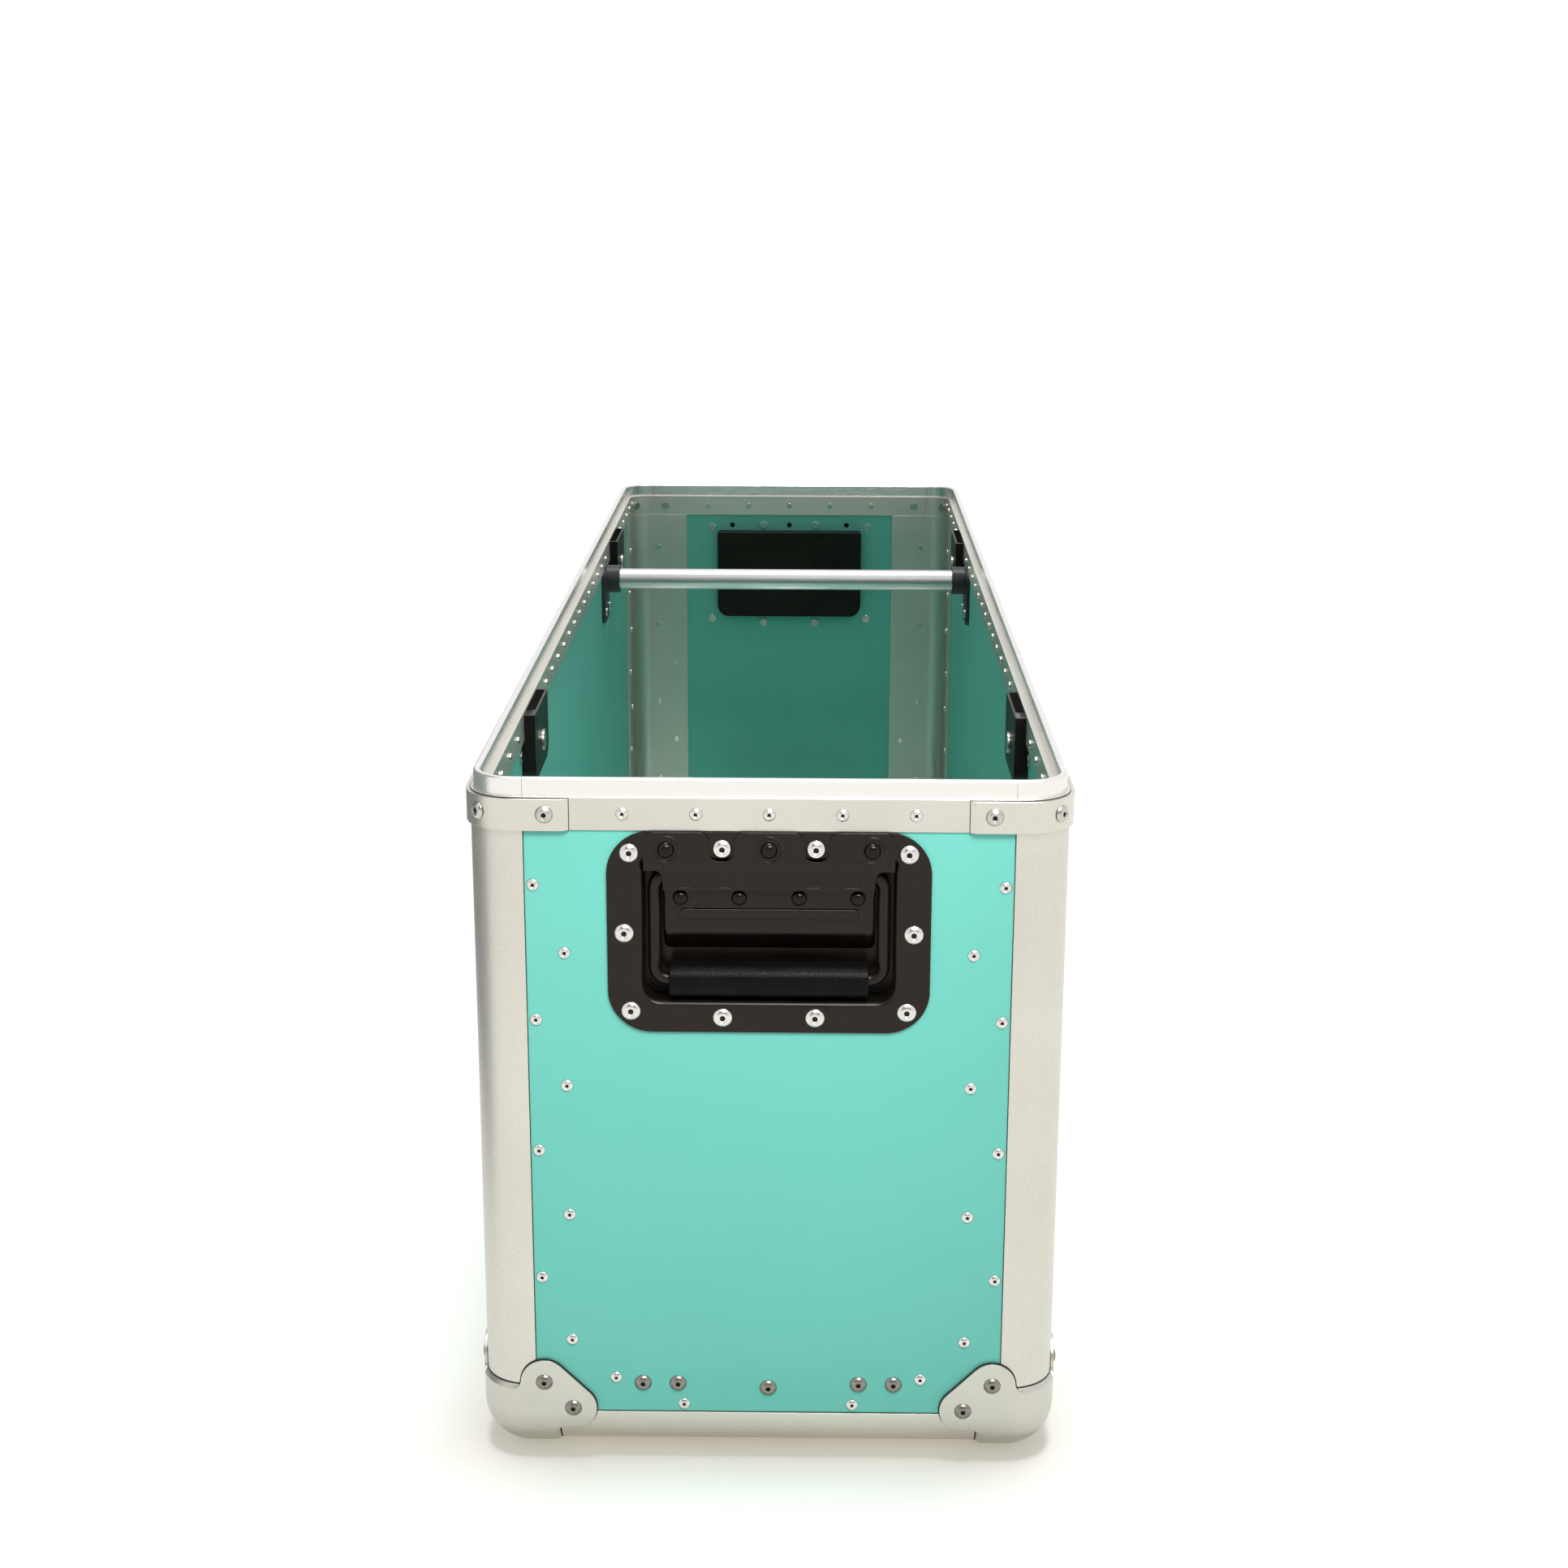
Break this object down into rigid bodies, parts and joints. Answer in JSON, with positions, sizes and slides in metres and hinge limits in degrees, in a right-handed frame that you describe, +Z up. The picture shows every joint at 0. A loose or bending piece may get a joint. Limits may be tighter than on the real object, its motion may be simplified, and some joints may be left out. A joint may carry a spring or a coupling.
{
  "type": "bike travel case",
  "caption": "Lower half of a hard bike travel case: riveted turquoise panels in rounded aluminium edges, recessed sprung end handles, turn latches and sliding axle mounts inside.",
  "frame": {"origin": "middle of the footprint on the ground", "axes": "+X across the width, +Y along the length away from the front end, +Z up"},
  "size_m": [0.3486, 1.1606, 0.421],
  "materials": {
    "panel_turquoise": "matte laminate, turquoise",
    "edge_aluminium": "satin anodised",
    "brace_aluminium": "satin anodised",
    "pressed_corner": "brushed",
    "bright_rivet": "bright",
    "steel_rivet": "plain",
    "black_enamel": "satin black",
    "grip_rubber": "fine grain",
    "spring_steel": "plain",
    "latch_black": "satin black",
    "latch_steel": "zinc plated",
    "bar_aluminium": "satin",
    "mount_grey": "satin dark grey"
  },
  "bodies": {
    "case": {"bottom_corner_front_left": "pressed_corner", "bottom_corner_front_right": "pressed_corner", "bottom_corner_rear_left": "pressed_corner", "bottom_corner_rear_right": "pressed_corner", "bottom_edge_front": "edge_aluminium", "bottom_edge_left": "edge_aluminium", "bottom_edge_rear": "edge_aluminium", "bottom_edge_right": "edge_aluminium", "bracket_rivets": "steel_rivet", "corner_edge_front_left": "edge_aluminium", "corner_edge_front_right": "edge_aluminium", "corner_edge_rear_left": "edge_aluminium", "corner_edge_rear_right": "edge_aluminium", "corner_rivets": "steel_rivet", "cross_bar": "bar_aluminium", "cross_bar_brackets": "mount_grey", "end_panel_front": "panel_turquoise", "end_panel_rear": "panel_turquoise", "floor_panel": "panel_turquoise", "handle_dish_front": "black_enamel", "handle_dish_rear": "black_enamel", "handle_dome_rivets": "black_enamel", "handle_hinge_plate_front": "black_enamel", "handle_hinge_plate_rear": "black_enamel", "handle_leaf_front": "black_enamel", "handle_leaf_rear": "black_enamel", "handle_rivets": "bright_rivet", "handle_springs_front": "spring_steel", "handle_springs_rear": "spring_steel", "latch_dish_front_left": "latch_black", "latch_dish_front_right": "latch_black", "latch_dish_rear_left": "latch_black", "latch_dish_rear_right": "latch_black", "latch_rivets": "steel_rivet", "mount_rail": "bar_aluminium", "panel_rivets": "bright_rivet", "rail_anchors": "mount_grey", "rim_braces": "brace_aluminium", "rim_corners": "edge_aluminium", "rim_front": "edge_aluminium", "rim_left": "edge_aluminium", "rim_rear": "edge_aluminium", "rim_right": "edge_aluminium", "rim_rivets": "bright_rivet", "side_panel_left": "panel_turquoise", "side_panel_right": "panel_turquoise"},
    "handle_front": {"handle_bail_front": "black_enamel", "handle_grip_front": "grip_rubber"},
    "handle_rear": {"handle_bail_rear": "black_enamel", "handle_grip_rear": "grip_rubber"},
    "latch_turn_front_left": {"latch_wing_front_left": "latch_steel"},
    "latch_pull_front_left": {"latch_hook_front_left": "latch_steel"},
    "latch_turn_front_right": {"latch_wing_front_right": "latch_steel"},
    "latch_pull_front_right": {"latch_hook_front_right": "latch_steel"},
    "latch_turn_rear_left": {"latch_wing_rear_left": "latch_steel"},
    "latch_pull_rear_left": {"latch_hook_rear_left": "latch_steel"},
    "latch_turn_rear_right": {"latch_wing_rear_right": "latch_steel"},
    "latch_pull_rear_right": {"latch_hook_rear_right": "latch_steel"},
    "fork_mount": {"fork_mount": "mount_grey"},
    "rear_mount": {"rear_mount": "mount_grey"}
  },
  "joints": [
    {"name": "handle_front_hinge", "type": "hinge", "parent": "case", "child": "handle_front", "pos_m": [0, -0.5685, 0.364], "axis": [-1, 0, 0], "range_deg": [0, 90], "stiffness_Nm_per_rad": 0.3, "springref_deg": -17.19},
    {"name": "handle_rear_hinge", "type": "hinge", "parent": "case", "child": "handle_rear", "pos_m": [0, 0.5685, 0.364], "axis": [1, 0, 0], "range_deg": [0, 90], "stiffness_Nm_per_rad": 0.3, "springref_deg": -17.19},
    {"name": "latch_turn_front_left", "type": "hinge", "parent": "case", "child": "latch_turn_front_left", "pos_m": [-0.16, -0.335, 0.383], "axis": [-1, 0, 0], "range_deg": [0, 186]},
    {"name": "latch_pull_front_left", "type": "slide", "parent": "case", "child": "latch_pull_front_left", "axis": [0, 0, 1], "range_m": [0, 0.007]},
    {"name": "latch_turn_front_right", "type": "hinge", "parent": "case", "child": "latch_turn_front_right", "pos_m": [0.16, -0.335, 0.383], "axis": [1, 0, 0], "range_deg": [0, 186]},
    {"name": "latch_pull_front_right", "type": "slide", "parent": "case", "child": "latch_pull_front_right", "axis": [0, 0, 1], "range_m": [0, 0.007]},
    {"name": "latch_turn_rear_left", "type": "hinge", "parent": "case", "child": "latch_turn_rear_left", "pos_m": [-0.16, 0.335, 0.383], "axis": [-1, 0, 0], "range_deg": [0, 186]},
    {"name": "latch_pull_rear_left", "type": "slide", "parent": "case", "child": "latch_pull_rear_left", "axis": [0, 0, 1], "range_m": [0, 0.007]},
    {"name": "latch_turn_rear_right", "type": "hinge", "parent": "case", "child": "latch_turn_rear_right", "pos_m": [0.16, 0.335, 0.383], "axis": [1, 0, 0], "range_deg": [0, 186]},
    {"name": "latch_pull_rear_right", "type": "slide", "parent": "case", "child": "latch_pull_rear_right", "axis": [0, 0, 1], "range_m": [0, 0.007]},
    {"name": "fork_mount_slide", "type": "slide", "parent": "case", "child": "fork_mount", "axis": [0, 1, 0], "range_m": [0, 0.2]},
    {"name": "rear_mount_slide", "type": "slide", "parent": "case", "child": "rear_mount", "axis": [0, 1, 0], "range_m": [-0.2, 0]}
  ],
  "couplings": [
    {"joint": "latch_turn_front_left", "follows": "latch_pull_front_left", "rad_per_m": 448.79},
    {"joint": "latch_turn_front_right", "follows": "latch_pull_front_right", "rad_per_m": 448.79},
    {"joint": "latch_turn_rear_left", "follows": "latch_pull_rear_left", "rad_per_m": 448.79},
    {"joint": "latch_turn_rear_right", "follows": "latch_pull_rear_right", "rad_per_m": 448.79}
  ]
}
